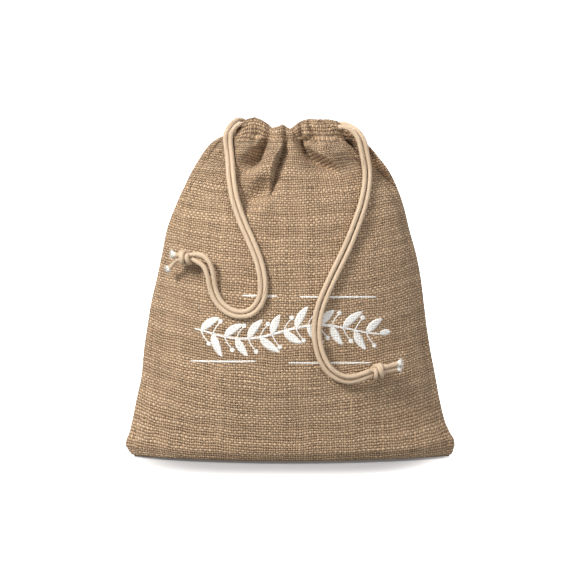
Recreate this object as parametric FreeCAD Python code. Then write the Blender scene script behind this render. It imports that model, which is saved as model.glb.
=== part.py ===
# Drawstring gift pouch: two sewn cloth panels, a folded channel along the top of each,
# and two drawcords that run round both channels in opposite directions.
# Millimetres. +X to the right, +Y to the back, +Z up. The origin is the middle of the base.
import FreeCAD, Part
import math
import os
from FreeCAD import Vector as V

os.makedirs("parts", exist_ok=True)

# ---------------------------------------------------------------- driving dimensions
FLAT_W = 250.0            # pouch laid flat, side seam to side seam
FLAT_H = 300.0            # pouch laid flat, bottom seam to the top of the hem
WALL = 1.2                # one layer of cloth, as modelled
BODY_TOP = 242.0          # where the panels meet the channel hems
# half width and half depth of the filled body, by height
SEC_Z = [0.0, 4.0, 10.0, 28.0, 46.0, 64.0, 101.0, 137.0, 173.0, 205.0, 228.0, BODY_TOP]
HALF_W = [113.0, 121.5, 125.5, 120.0, 115.5, 111.5, 106.0, 100.0, 91.5, 81.0, 66.0, 50.0]
HALF_D = [27.0, 32.0, 34.5, 38.0, 40.5, 42.0, 42.5, 40.5, 34.0, 26.0, 19.0, 14.5]
PLUMP = 0.8               # lens exponent: y = D (1 - (x/w)^2)^PLUMP

HEM_X = 36.0              # half length of the gathered channels
HEM_Y0, HEM_Y1 = 5.0, 14.0
HEM_Z0, HEM_Z1 = BODY_TOP, 257.0

ALLOW = 10.0              # seam allowance inside
ALLOW_T = 1.1             # thickness of each layer of it
CORD_D = 3.6
CORD_R = CORD_D / 2
CORD_Y = 9.5              # cord line in the middle of each channel
LEFT_Z, RIGHT_Z = 251.5, 246.9
GAP = 0.3                 # running gap at the cord joints
KNOT_L, KNOT_R = 12.4, 6.3

# ---------------------------------------------------------------- cord routes
LEFT_BACK_STRAND = [
    (-47.5, -12.0, 245.0), (-45.6, -13.9, 228.6), (-44.7, -19.6, 213.4), (-42.0, -25.0, 197.3),
    (-36.3, -30.5, 181.2), (-29.2, -35.3, 166.0), (-23.3, -39.2, 151.8), (-20.4, -41.7, 137.2),
    (-21.4, -42.5, 125.1), (-29.2, -41.9, 115.7), (-39.9, -39.8, 115.3), (-50.0, -36.8, 121.9),
    (-54.8, -35.1, 133.3), (-55.7, -36.1, 144.9), (-59.3, -35.9, 153.9), (-65.9, -33.0, 158.0),
    (-71.3, -32.0, 157.2)]
LEFT_FRONT_STRAND = [
    (-43.6, -12.0, 245.0), (-42.0, -15.1, 228.6), (-41.0, -20.7, 213.5), (-38.3, -25.8, 198.1),
    (-32.7, -31.0, 182.4), (-25.7, -35.6, 167.5), (-19.6, -39.6, 152.6), (-16.5, -42.1, 136.9),
    (-17.8, -43.1, 122.9), (-27.3, -42.5, 112.0), (-41.8, -40.1, 111.6), (-53.3, -36.4, 120.0),
    (-58.5, -34.5, 131.8), (-59.9, -34.9, 142.6), (-63.6, -34.3, 150.6), (-70.8, -31.2, 153.4)]
RIGHT_FRONT_STRAND = [
    (54.3, -12.0, 240.0), (54.5, -12.9, 230.8), (57.3, -13.6, 218.5), (56.3, -17.9, 205.9),
    (53.2, -22.6, 192.7), (48.3, -27.4, 179.6), (42.0, -32.6, 164.3), (34.0, -37.8, 148.4),
    (27.3, -40.8, 134.5), (21.6, -42.8, 121.4), (18.8, -43.8, 108.1), (19.0, -43.9, 94.0),
    (22.2, -43.4, 80.6), (29.2, -42.4, 69.3), (40.4, -41.0, 62.9), (51.5, -39.8, 63.5),
    (60.8, -38.0, 67.7)]
RIGHT_BACK_STRAND = [
    (58.2, -12.0, 240.0), (58.8, -11.6, 230.7), (61.1, -12.2, 218.4), (60.1, -16.5, 205.1),
    (57.0, -21.4, 191.6), (52.1, -26.5, 178.1), (45.9, -31.8, 162.8), (37.8, -37.2, 146.7),
    (31.2, -40.2, 133.0), (25.5, -42.3, 119.8), (22.7, -43.4, 107.3), (22.8, -43.5, 94.7),
    (25.8, -43.7, 82.9), (31.8, -43.8, 72.8), (41.1, -43.1, 67.0), (50.7, -41.1, 67.5),
    (60.2, -39.3, 71.3)]
LEFT_FEED_FRONT = [
    (-10.0, -9.5, 251.5), (-19.0, -9.3, 251.4), (-27.5, -9.7, 251.8), (-35.0, -9.6, 253.0),
    (-40.5, -10.3, 255.6), (-44.3, -11.3, 252.6), (-43.6, -12.0, 245.0)]
LEFT_FEED_BACK = [
    (-10.0, 9.5, 251.5), (-19.0, 9.7, 251.7), (-27.5, 9.3, 252.0), (-36.8, 9.2, 253.4),
    (-42.4, 3.9, 256.2), (-45.5, -3.5, 256.6), (-48.0, -9.5, 252.4), (-47.5, -12.0, 245.0)]
RIGHT_FEED_FRONT = [
    (10.0, -9.5, 246.9), (19.0, -9.3, 246.7), (28.0, -9.7, 246.9), (36.5, -9.6, 246.8),
    (44.5, -10.6, 247.6), (51.0, -11.6, 246.2), (54.3, -12.0, 240.0)]
RIGHT_FEED_BACK = [
    (10.0, 9.5, 246.9), (19.0, 9.7, 247.1), (28.0, 9.3, 246.8), (36.5, 9.4, 246.9),
    (45.0, 9.9, 247.2), (52.5, 6.8, 248.9), (57.5, 0.3, 249.8), (59.4, -6.8, 246.6),
    (58.2, -12.0, 240.0)]
# knots: centre, direction the strands run through it, direction from one strand to the other
LEFT_KNOT = ((-77.0, -30.0, 154.9), (-0.9642, 0.2584, -0.0596), (-0.1171, -0.2129, 0.9700))
RIGHT_KNOT = ((66.4, -37.3, 70.9), (0.9492, 0.2175, 0.2274), (-0.1492, -0.3251, 0.9338))
LEFT_TIPS = (7.0, 15.0)
RIGHT_TIPS = (15.5, 13.0)


# ---------------------------------------------------------------- helpers
def interp(xs, ys, x):
    """Monotone cubic through the section table."""
    n = len(xs)
    h = [xs[i + 1] - xs[i] for i in range(n - 1)]
    d = [(ys[i + 1] - ys[i]) / h[i] for i in range(n - 1)]
    m = [d[0]]
    for i in range(1, n - 1):
        if d[i - 1] * d[i] <= 0:
            m.append(0.0)
        else:
            m.append((h[i - 1] + h[i]) * 3 / ((2 * h[i] + h[i - 1]) / d[i - 1] + (h[i] + 2 * h[i - 1]) / d[i]))
    m.append(d[-1])
    x = min(max(x, xs[0]), xs[-1])
    k = max([i for i in range(n - 1) if xs[i] <= x] or [0])
    t = (x - xs[k]) / h[k]
    return ((2 * t**3 - 3 * t * t + 1) * ys[k] + (t**3 - 2 * t * t + t) * h[k] * m[k]
            + (-2 * t**3 + 3 * t * t) * ys[k + 1] + (t**3 - t * t) * h[k] * m[k + 1])


def half_w(z):
    return interp(SEC_Z, HALF_W, z)


def half_d(z):
    return interp(SEC_Z, HALF_D, z)


def lens(z, w, d):
    """Closed section wire: a front edge and a back edge that meet at the side seams."""
    def edge(sign):
        pts = []
        for k in range(13):
            a = math.pi * k / 12
            x = -w * math.cos(a)
            pts.append(V(x, sign * d * max(0.0, 1 - (x / w) ** 2) ** PLUMP, z))
        c = Part.BSplineCurve()
        c.interpolate(pts)
        return c.toShape()
    return Part.Wire([edge(-1), edge(1)])


def body_loft(zs, dw, dd):
    return Part.makeLoft([lens(z, half_w(z) + dw, half_d(z) + dd) for z in zs], True, False)


def box(x0, x1, y0, y1, z0, z1):
    return Part.makeBox(x1 - x0, y1 - y0, z1 - z0, V(x0, y0, z0))


def prism_xz(pts, y0, y1):
    w = Part.makePolygon([V(x, y0, z) for x, z in pts] + [V(pts[0][0], y0, pts[0][1])])
    return Part.Face(w).extrude(V(0, y1 - y0, 0))


def cord_wire(points):
    """Straight runs joined by tangent arcs. Returns the wire, its length and its radii."""
    p = [V(*q) for q in points]
    edges, radii, length = [], [], 0.0
    start = p[0]
    for i in range(1, len(p) - 1):
        u, w = p[i - 1] - p[i], p[i + 1] - p[i]
        lu, lw = u.Length, w.Length
        u.normalize()
        w.normalize()
        turn = math.pi - u.getAngle(w)
        t = 0.45 * min(lu, lw)
        r = t / math.tan(turn / 2)
        radii.append(r)
        a, b = p[i] + u * t, p[i] + w * t
        bis = (u + w)
        bis.normalize()
        mid = p[i] + bis * (r / math.cos(turn / 2) - r)
        edges.append(Part.LineSegment(start, a).toShape())
        edges.append(Part.Arc(a, mid, b).toShape())
        length += (a - start).Length + r * turn
        start = b
    edges.append(Part.LineSegment(start, p[-1]).toShape())
    length += (p[-1] - start).Length
    return Part.Wire(edges), length, radii


def tube(points, r=CORD_R, name=""):
    wire, length, radii = cord_wire(points)
    d = V(*points[1]) - V(*points[0])
    prof = Part.Wire([Part.makeCircle(r, V(*points[0]), d)])
    s = wire.makePipeShell([prof], True, False)
    want = math.pi * r * r * length
    print("%-22s length %6.1f  volume %8.1f of %8.1f  radii %s" % (
        name, length, s.Volume, want, " ".join("%.1f" % q for q in radii)))
    return s


def shorten(points, by):
    """Pull the last point back along its run."""
    a, b = V(*points[-2]), V(*points[-1])
    d = b - a
    d.normalize()
    q = b - d * by
    return points[:-1] + [(q.x, q.y, q.z)]


def save(shape, name):
    s = shape
    if s.ShapeType == "Compound" and len(s.Solids) == 1:
        s = s.Solids[0]
    assert s.Solids, name
    for one in s.Solids:
        assert one.isValid(), name
    s.exportStep("parts/%s.step" % name)
    print("%-24s solids %3d  volume %10.1f" % (name, len(s.Solids), sum(o.Volume for o in s.Solids)))


# ---------------------------------------------------------------- cloth body
outer = body_loft(SEC_Z, 0.0, 0.0)
IN_Z = [WALL] + SEC_Z[1:-1] + [BODY_TOP + 0.8]
cavity = Part.makeLoft([lens(z, half_w(min(z, BODY_TOP)) - 2.2, half_d(min(z, BODY_TOP)) - 1.3 * WALL) for z in IN_Z],
                       True, False)
shell = outer.cut(cavity)
front = shell.common(box(-200, 200, -100, 0, -10, 300))
back = shell.common(box(-200, 200, 0, 100, -10, 300))

# seam allowances: each panel's raw edge, turned inside and lying against the other's
sz = [WALL] + [z for z in SEC_Z[1:-1]] + [BODY_TOP]
side_pts = [(half_w(z) - 2.2 + 4, z) for z in sz]
in_pts = [(half_w(z) - 2.2 - ALLOW, z) for z in sz]
right_outline = side_pts + in_pts[::-1]
left_outline = [(-x, z) for x, z in right_outline]
base_z1 = WALL + ALLOW
base_outline = [(-(half_w(base_z1) - 2.2 - ALLOW - 1.0), -3), (half_w(base_z1) - 2.2 - ALLOW - 1.0, -3),
                (half_w(base_z1) - 2.2 - ALLOW - 1.0, base_z1), (-(half_w(base_z1) - 2.2 - ALLOW - 1.0), base_z1)]
cav_cut = cavity.common(box(-200, 200, -50, 50, -10, BODY_TOP))


def allowance(outline, y0, y1):
    return prism_xz(outline, y0, y1).common(cav_cut)


for outline in (right_outline, left_outline, base_outline):
    front = front.fuse(allowance(outline, -ALLOW_T, 0.0))
    back = back.fuse(allowance(outline, 0.0, ALLOW_T))
front = front.removeSplitter()
back = back.removeSplitter()
save(front, "front_panel")
save(back, "back_panel")


# ---------------------------------------------------------------- channels
def hem(sign):
    y0, y1 = (-HEM_Y1, -HEM_Y0) if sign < 0 else (HEM_Y0, HEM_Y1)
    out = box(-HEM_X, HEM_X, y0, y1, HEM_Z0, HEM_Z1)
    out = out.makeFillet(3.0, [e for e in out.Edges
                               if abs(e.BoundBox.ZMin - HEM_Z1) < 0.01 and e.BoundBox.XLength > 10])
    inn = box(-HEM_X - 1, HEM_X + 1, y0 + WALL, y1 - WALL, HEM_Z0 + WALL, HEM_Z1 - WALL)
    inn = inn.makeFillet(1.8, [e for e in inn.Edges
                               if abs(e.BoundBox.ZMin - (HEM_Z1 - WALL)) < 0.01 and e.BoundBox.XLength > 10])
    return out.cut(inn)


save(hem(-1), "front_channel_hem")
save(hem(1), "back_channel_hem")


def hem_stitch(sign):
    rows = []
    n = 9
    for i in range(n):
        x = -HEM_X + 4 + (2 * HEM_X - 8) * i / (n - 1)
        if sign < 0:
            rows.append(box(x - 2.4, x + 2.4, -HEM_Y1 - 0.4, -HEM_Y1, HEM_Z0 + 0.5, HEM_Z0 + 1.1))
        else:
            rows.append(box(x - 2.4, x + 2.4, HEM_Y1, HEM_Y1 + 0.4, HEM_Z0 + 0.5, HEM_Z0 + 1.1))
    return Part.makeCompound(rows)


save(hem_stitch(-1), "front_hem_stitching")
save(hem_stitch(1), "back_hem_stitching")
save(box(-49.0, -38.5, -1.4, 1.4, BODY_TOP, BODY_TOP + 1.0), "left_slit_bartack")
save(box(38.5, 49.0, -1.4, 1.4, BODY_TOP, BODY_TOP + 1.0), "right_slit_bartack")


# ---------------------------------------------------------------- threads on the allowances
def along(line, pitch, dash):
    """Dashes of a given length along a polyline in the XZ plane."""
    segs = []
    for (x0, z0), (x1, z1) in zip(line[:-1], line[1:]):
        length = math.hypot(x1 - x0, z1 - z0)
        n = max(1, int(round(length / pitch)))
        for i in range(n):
            c = (i + 0.5) / n
            h = 0.5 * dash / length
            segs.append(((x0 + (x1 - x0) * (c - h), z0 + (z1 - z0) * (c - h)),
                         (x0 + (x1 - x0) * (c + h), z0 + (z1 - z0) * (c + h))))
    return segs


def dash_box(a, b, half, y0, y1):
    dx, dz = b[0] - a[0], b[1] - a[1]
    n = math.hypot(dx, dz)
    ox, oz = -dz / n * half, dx / n * half
    return prism_xz([(a[0] + ox, a[1] + oz), (b[0] + ox, b[1] + oz), (b[0] - ox, b[1] - oz), (a[0] - ox, a[1] - oz)],
                    y0, y1)


def lockstitch(line):
    out = []
    for a, b in along(line, 14.0, 8.0):
        out.append(dash_box(a, b, 0.35, -ALLOW_T - 0.35, -ALLOW_T))
        out.append(dash_box(a, b, 0.35, ALLOW_T, ALLOW_T + 0.35))
    return Part.makeCompound(out)


def overlock(line):
    """Thread wrapped over the raw edge: a narrow channel section along each stretch."""
    out = []
    for a, b in along(line, 12.0, 9.0):
        dx, dz = b[0] - a[0], b[1] - a[1]
        n = math.hypot(dx, dz)
        out.append((a, b, (dx / n, dz / n)))
    return out


def overlock_shape(line, into):
    """into is +1 or -1: which side of the line the allowance lies on."""
    solids = []
    for a, b, t in overlock(line):
        ox, oz = -t[1] * into, t[0] * into
        g = 0.0
        outerp = [(a[0] - ox * 0.5, a[1] - oz * 0.5), (b[0] - ox * 0.5, b[1] - oz * 0.5),
                  (b[0] + ox * 2.6, b[1] + oz * 2.6), (a[0] + ox * 2.6, a[1] + oz * 2.6)]
        innerp = [(a[0] - ox * g, a[1] - oz * g), (b[0] - ox * g, b[1] - oz * g),
                  (b[0] + ox * 3.0, b[1] + oz * 3.0), (a[0] + ox * 3.0, a[1] + oz * 3.0)]
        # the slot is cut a little longer than the thread, so no end walls are left
        ex, ez = t[0] * 0.5, t[1] * 0.5
        innerp = [(innerp[0][0] - ex, innerp[0][1] - ez), (innerp[1][0] + ex, innerp[1][1] + ez),
                  (innerp[2][0] + ex, innerp[2][1] + ez), (innerp[3][0] - ex, innerp[3][1] - ez)]
        s = prism_xz(outerp, -ALLOW_T - 0.4, ALLOW_T + 0.4).cut(prism_xz(innerp, -ALLOW_T, ALLOW_T))
        solids.extend(s.Solids)
    return Part.makeCompound(solids)


def edge_x(z):
    """The allowance's straight-sided free edge, by height."""
    for (x0, z0), (x1, z1) in zip(in_pts[:-1], in_pts[1:]):
        if z0 <= z <= z1:
            return x0 + (x1 - x0) * (z - z0) / (z1 - z0)
    raise ValueError(z)


tz = [14.0, 28.0, 46.0, 64.0, 101.0, 137.0, 173.0, 205.0, 222.0]
st_line = [(edge_x(z) + ALLOW - 3.5, z) for z in tz]
free_line = [(edge_x(z), z) for z in tz]
save(lockstitch(st_line), "right_seam_stitching")
save(lockstitch([(-x, z) for x, z in st_line]), "left_seam_stitching")
bx = half_w(base_z1) - 2.2 - ALLOW - 4.0
save(lockstitch([(-bx, WALL + 3.5), (bx, WALL + 3.5)]), "base_seam_stitching")
save(overlock_shape(free_line, -1), "right_seam_overlock")
save(overlock_shape([(-x, z) for x, z in free_line], 1), "left_seam_overlock")
save(overlock_shape([(-bx, base_z1), (bx, base_z1)], -1), "base_seam_overlock")

# ---------------------------------------------------------------- front print
ink_in = body_loft(SEC_Z, 0.0, 0.03)
ink_out = body_loft(SEC_Z, 0.0, 0.33)
ink_skin = ink_out.cut(ink_in).common(box(-90, 90, -100, -20, 60, 150))


def leaf(cx, cz, ang, length, width):
    a = math.radians(ang)
    pts = []
    n = 5
    for k in range(n + 1):
        t = k / n
        pts.append((t * length, width * 0.5 * math.sin(math.pi * t) ** 0.8 if 0 < t < 1 else 0.0))
    for k in range(n - 1, 0, -1):
        t = k / n
        pts.append((t * length, -width * 0.5 * math.sin(math.pi * t) ** 0.8))
    return [(cx + u * math.cos(a) - v * math.sin(a), cz + u * math.sin(a) + v * math.cos(a)) for u, v in pts]


ink = [prism_xz([(-34, 126.4), (-8, 126.7), (-8, 127.9), (-34, 127.6)], -60, -20),
       prism_xz([(8.5, 125.8), (65.5, 124.6), (65.5, 125.8), (8.5, 127.0)], -60, -20),
       prism_xz([(-73, 76.5), (-24, 78.2), (-24, 79.4), (-73, 77.7)], -60, -20),
       prism_xz([(0.4, 76.9), (61.5, 75.6), (61.5, 76.8), (0.4, 78.1)], -60, -20)]
for i in range(9):
    x = -60 + 15.0 * i
    zc = 101.0 + 4.0 * math.sin(i * 1.05)
    ink.append(prism_xz(leaf(x, zc + 1.6, 62, 15.0, 6.5), -60, -20))
    ink.append(prism_xz(leaf(x + 7, zc - 1.6, -58, 14.0, 6.0), -60, -20))
save(ink_skin.common(Part.makeCompound(ink)), "front_print")


# ---------------------------------------------------------------- cords
def loop_shape(side, z):
    """The part of one cord that stays in the channels: out of one, round the far end, into the other."""
    x0 = side * (10.0 - GAP)
    x1 = -side * HEM_X
    e = [Part.LineSegment(V(x0, -CORD_Y, z), V(x1, -CORD_Y, z)).toShape(),
         Part.Arc(V(x1, -CORD_Y, z), V(x1 - side * CORD_Y, 0, z), V(x1, CORD_Y, z)).toShape(),
         Part.LineSegment(V(x1, CORD_Y, z), V(x0, CORD_Y, z)).toShape()]
    prof = Part.Wire([Part.makeCircle(CORD_R, V(x0, -CORD_Y, z), V(-side, 0, 0))])
    return Part.Wire(e).makePipeShell([prof], True, False)


def strand(points, knot, name):
    """Tube with a ball end centred on the swing axis, ending flush on the knot's face."""
    t = tube(shorten(points, -1.5), name=name)
    ball = Part.makeSphere(CORD_R, V(*points[0]))
    return t.fuse(ball).cut(knot_shape(knot))


def feed(points, name):
    return tube(shorten(points, CORD_R + GAP), name=name)


def knot_shape(k):
    c, a, _ = V(*k[0]), V(*k[1]), V(*k[2])
    a.normalize()
    h = KNOT_L / 2
    prof = [(-h, 0), (-h, 4.3), (-h * 0.55, KNOT_R), (h * 0.55, KNOT_R), (h, 4.3), (h, 0)]
    n = V(0, 0, 1)
    n = n - a * n.dot(a)
    n.normalize()
    pts = [c + a * u + n * r for u, r in prof]
    face = Part.Face(Part.makePolygon(pts + [pts[0]]))
    return face.revolve(c, a, 360)


def tips(k, lengths, spread):
    c, a, s = V(*k[0]), V(*k[1]), V(*k[2])
    a.normalize()
    s.normalize()
    out = []
    for sign, length, d in ((1, lengths[0], spread[0]), (-1, lengths[1], spread[1])):
        p0 = c + a * (KNOT_L / 2) + s * (1.95 * sign)
        p1 = p0 + a * 3.0
        dirv = a + s * (sign * d[0]) + V(0, d[1], 0)
        dirv.normalize()
        p2 = p1 + dirv * (length - 3.0)
        out.append(tube([(p0.x, p0.y, p0.z), (p1.x, p1.y, p1.z), (p2.x, p2.y, p2.z)], name="tip"))
    return Part.makeCompound(out)


save(loop_shape(-1, LEFT_Z), "left_cord_loop")
save(loop_shape(1, RIGHT_Z), "right_cord_loop")
save(feed(LEFT_FEED_FRONT, "left_feed_front"), "left_feed_front")
save(feed(LEFT_FEED_BACK, "left_feed_back"), "left_feed_back")
save(feed(RIGHT_FEED_FRONT, "right_feed_front"), "right_feed_front")
save(feed(RIGHT_FEED_BACK, "right_feed_back"), "right_feed_back")
save(strand(LEFT_FRONT_STRAND, LEFT_KNOT, "left_front_strand"), "left_front_strand")
save(strand(LEFT_BACK_STRAND, LEFT_KNOT, "left_back_strand"), "left_back_strand")
save(strand(RIGHT_FRONT_STRAND, RIGHT_KNOT, "right_front_strand"), "right_front_strand")
save(strand(RIGHT_BACK_STRAND, RIGHT_KNOT, "right_back_strand"), "right_back_strand")
save(knot_shape(LEFT_KNOT), "left_knot")
save(knot_shape(RIGHT_KNOT), "right_knot")
save(tips(LEFT_KNOT, LEFT_TIPS, ((0.15, 0.02), (1.0, 0.35))), "left_cord_tips")
save(tips(RIGHT_KNOT, RIGHT_TIPS, ((0.05, 0.05), (0.12, 0.10))), "right_cord_tips")
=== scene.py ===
# Drawstring gift pouch: looks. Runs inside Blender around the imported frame. Lengths in mm unless noted.
import math
import bpy
import numpy as np
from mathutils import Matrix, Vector
from mathutils.kdtree import KDTree


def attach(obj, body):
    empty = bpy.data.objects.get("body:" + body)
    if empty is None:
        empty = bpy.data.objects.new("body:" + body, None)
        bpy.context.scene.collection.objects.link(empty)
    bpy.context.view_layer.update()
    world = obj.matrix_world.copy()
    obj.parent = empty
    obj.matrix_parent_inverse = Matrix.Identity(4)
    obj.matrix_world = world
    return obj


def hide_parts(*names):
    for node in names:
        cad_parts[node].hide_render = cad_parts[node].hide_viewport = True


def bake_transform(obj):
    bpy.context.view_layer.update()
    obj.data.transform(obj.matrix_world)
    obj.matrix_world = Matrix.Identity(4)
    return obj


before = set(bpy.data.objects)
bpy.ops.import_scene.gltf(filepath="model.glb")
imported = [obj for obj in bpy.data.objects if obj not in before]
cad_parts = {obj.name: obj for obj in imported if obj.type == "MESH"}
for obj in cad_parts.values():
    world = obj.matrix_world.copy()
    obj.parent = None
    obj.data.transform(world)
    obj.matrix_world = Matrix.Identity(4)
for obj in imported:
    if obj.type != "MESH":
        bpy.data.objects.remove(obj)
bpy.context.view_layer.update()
MM = 0.001
RNG = np.random.default_rng(7)
scene = bpy.context.scene
scene.view_settings.view_transform = "Standard"


# =============================================================== node helpers
class Tree:
    def __init__(self, name):
        self.mat = bpy.data.materials.new(name)
        self.mat.use_nodes = True
        self.nt = self.mat.node_tree
        self.nt.nodes.clear()
        self.out = self.nt.nodes.new("ShaderNodeOutputMaterial")
        self.bsdf = self.nt.nodes.new("ShaderNodeBsdfPrincipled")
        self.link(self.bsdf.outputs[0], self.out.inputs[0])

    def link(self, a, b):
        self.nt.links.new(a, b)

    def put(self, socket, value):
        if isinstance(value, bpy.types.NodeSocket):
            self.link(value, socket)
        else:
            socket.default_value = value

    def m(self, op, a, b=None, c=None, clamp=False):
        n = self.nt.nodes.new("ShaderNodeMath")
        n.operation = op
        n.use_clamp = clamp
        for k, v in enumerate((a, b, c)):
            if v is not None:
                self.put(n.inputs[k], v)
        return n.outputs[0]

    def mix(self, f, a, b, blend="MIX"):
        n = self.nt.nodes.new("ShaderNodeMix")
        n.data_type = "RGBA"
        n.blend_type = blend
        self.put(n.inputs[0], f)
        for s, v in ((n.inputs[6], a), (n.inputs[7], b)):
            self.put(s, tuple(v) + (1,) if isinstance(v, (tuple, list)) and len(v) == 3 else v)
        return n.outputs[2]

    def ramp(self, x, lo, hi, a=0.0, b=1.0):
        n = self.nt.nodes.new("ShaderNodeMapRange")
        n.interpolation_type = "SMOOTHSTEP"
        self.put(n.inputs[0], x)
        for k, v in zip((1, 2, 3, 4), (lo, hi, a, b)):
            self.put(n.inputs[k], v)
        return n.outputs[0]

    def vec(self, x, y, z=0.0):
        n = self.nt.nodes.new("ShaderNodeCombineXYZ")
        for k, v in enumerate((x, y, z)):
            self.put(n.inputs[k], v)
        return n.outputs[0]

    def sep(self, v):
        n = self.nt.nodes.new("ShaderNodeSeparateXYZ")
        self.link(v, n.inputs[0])
        return n.outputs

    def noise(self, v, scale, detail=2.0, rough=0.5, distortion=0.0, dims="3D"):
        n = self.nt.nodes.new("ShaderNodeTexNoise")
        n.noise_dimensions = dims
        self.link(v, n.inputs["Vector"])
        n.inputs["Scale"].default_value = scale
        n.inputs["Detail"].default_value = detail
        n.inputs["Roughness"].default_value = rough
        n.inputs["Distortion"].default_value = distortion
        return n.outputs[0]

    def white(self, v):
        n = self.nt.nodes.new("ShaderNodeTexWhiteNoise")
        n.noise_dimensions = "2D"
        self.link(v, n.inputs["Vector"])
        return n.outputs[0]

    def uv(self, name="flat"):
        n = self.nt.nodes.new("ShaderNodeUVMap")
        n.uv_map = name
        return n.outputs[0]

    def obj(self):
        return self.nt.nodes.new("ShaderNodeTexCoord").outputs["Object"]

    def bump(self, h, dist, strength=1.0):
        n = self.nt.nodes.new("ShaderNodeBump")
        n.inputs["Strength"].default_value = strength
        n.inputs["Distance"].default_value = dist
        self.put(n.inputs["Height"], h)
        self.link(n.outputs[0], self.bsdf.inputs["Normal"])

    def set(self, **kw):
        for k, v in kw.items():
            self.put(self.bsdf.inputs[k.replace("_", " ")], v)


PITCH_U, PITCH_V = 1.86, 1.92


def weave(t):
    """Plain-weave height and masks from the flat-pattern UV (mm)."""
    uvz = t.sep(t.uv())
    base = t.vec(uvz[0], uvz[1])
    low = t.m("SUBTRACT", t.noise(base, 0.035, 2.0), 0.5)
    low2 = t.m("SUBTRACT", t.noise(t.vec(uvz[1], uvz[0], 9.0), 0.035, 2.0), 0.5)
    fine = t.m("SUBTRACT", t.noise(t.vec(uvz[0], t.m("MULTIPLY", uvz[1], 0.35), 3.0), 0.30, 2.0), 0.5)
    fine2 = t.m("SUBTRACT", t.noise(t.vec(t.m("MULTIPLY", uvz[0], 0.35), uvz[1], 5.0), 0.30, 2.0), 0.5)
    a = t.m("ADD", t.m("MULTIPLY", uvz[0], 1 / PITCH_U), t.m("ADD", t.m("MULTIPLY", low, 2.2), t.m("MULTIPLY", fine, 0.75)))
    b = t.m("ADD", t.m("MULTIPLY", uvz[1], 1 / PITCH_V), t.m("ADD", t.m("MULTIPLY", low2, 2.4), t.m("MULTIPLY", fine2, 0.8)))
    ia, ib = t.m("FLOOR", a), t.m("FLOOR", b)
    fa, fb = t.m("SUBTRACT", t.m("SUBTRACT", a, ia), 0.5), t.m("SUBTRACT", t.m("SUBTRACT", b, ib), 0.5)
    ra, rb = t.white(t.vec(ia, 3.1)), t.white(t.vec(7.7, ib))
    # slubs: each thread swells and thins along its length
    sla = t.noise(t.vec(t.m("MULTIPLY", ia, 3.7), t.m("MULTIPLY", b, 0.16), 1.0), 1.0, 1.0)
    slb = t.noise(t.vec(t.m("MULTIPLY", a, 0.16), t.m("MULTIPLY", ib, 3.7), 2.0), 1.0, 1.0)
    wa = t.m("ADD", t.m("MULTIPLY", sla, 0.85), t.m("ADD", t.m("MULTIPLY", ra, 0.22), 0.34))
    wb = t.m("ADD", t.m("MULTIPLY", slb, 0.95), t.m("ADD", t.m("MULTIPLY", rb, 0.26), 0.34))
    qa = t.m("DIVIDE", t.m("MULTIPLY", fa, 2.0), wa)
    qb = t.m("DIVIDE", t.m("MULTIPLY", fb, 2.0), wb)
    pa = t.m("SQRT", t.m("SUBTRACT", 1.0, t.m("MULTIPLY", qa, qa), clamp=True))
    pb = t.m("SQRT", t.m("SUBTRACT", 1.0, t.m("MULTIPLY", qb, qb), clamp=True))
    par = t.m("MODULO", t.m("ADD", t.m("ADD", ia, ib), 4000.0), 2.0)
    sgn = t.m("SUBTRACT", t.m("MULTIPLY", par, 2.0), 1.0)
    ca = t.m("MULTIPLY", t.m("COSINE", t.m("MULTIPLY", fa, math.pi)), sgn)
    cb = t.m("MULTIPLY", t.m("COSINE", t.m("MULTIPLY", fb, math.pi)), sgn)
    hw = t.m("MULTIPLY", pa, t.m("ADD", t.m("MULTIPLY", cb, 0.34), 0.62))
    hf = t.m("MULTIPLY", pb, t.m("SUBTRACT", 0.66, t.m("MULTIPLY", ca, 0.34)))
    h = t.m("MAXIMUM", hw, hf)
    top = t.m("GREATER_THAN", hw, hf)
    rand = t.m("ADD", t.m("MULTIPLY", top, t.m("SUBTRACT", ra, rb)), rb)
    fib_w = t.noise(t.vec(t.m("MULTIPLY", uvz[0], 5.0), t.m("MULTIPLY", uvz[1], 0.9), 0.0), 1.0, 2.0, 0.6)
    fib_f = t.noise(t.vec(t.m("MULTIPLY", uvz[0], 0.9), t.m("MULTIPLY", uvz[1], 5.0), 4.0), 1.0, 2.0, 0.6)
    fib = t.m("ADD", t.m("MULTIPLY", top, t.m("SUBTRACT", fib_w, fib_f)), fib_f)
    return base, h, rand, fib, top


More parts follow.
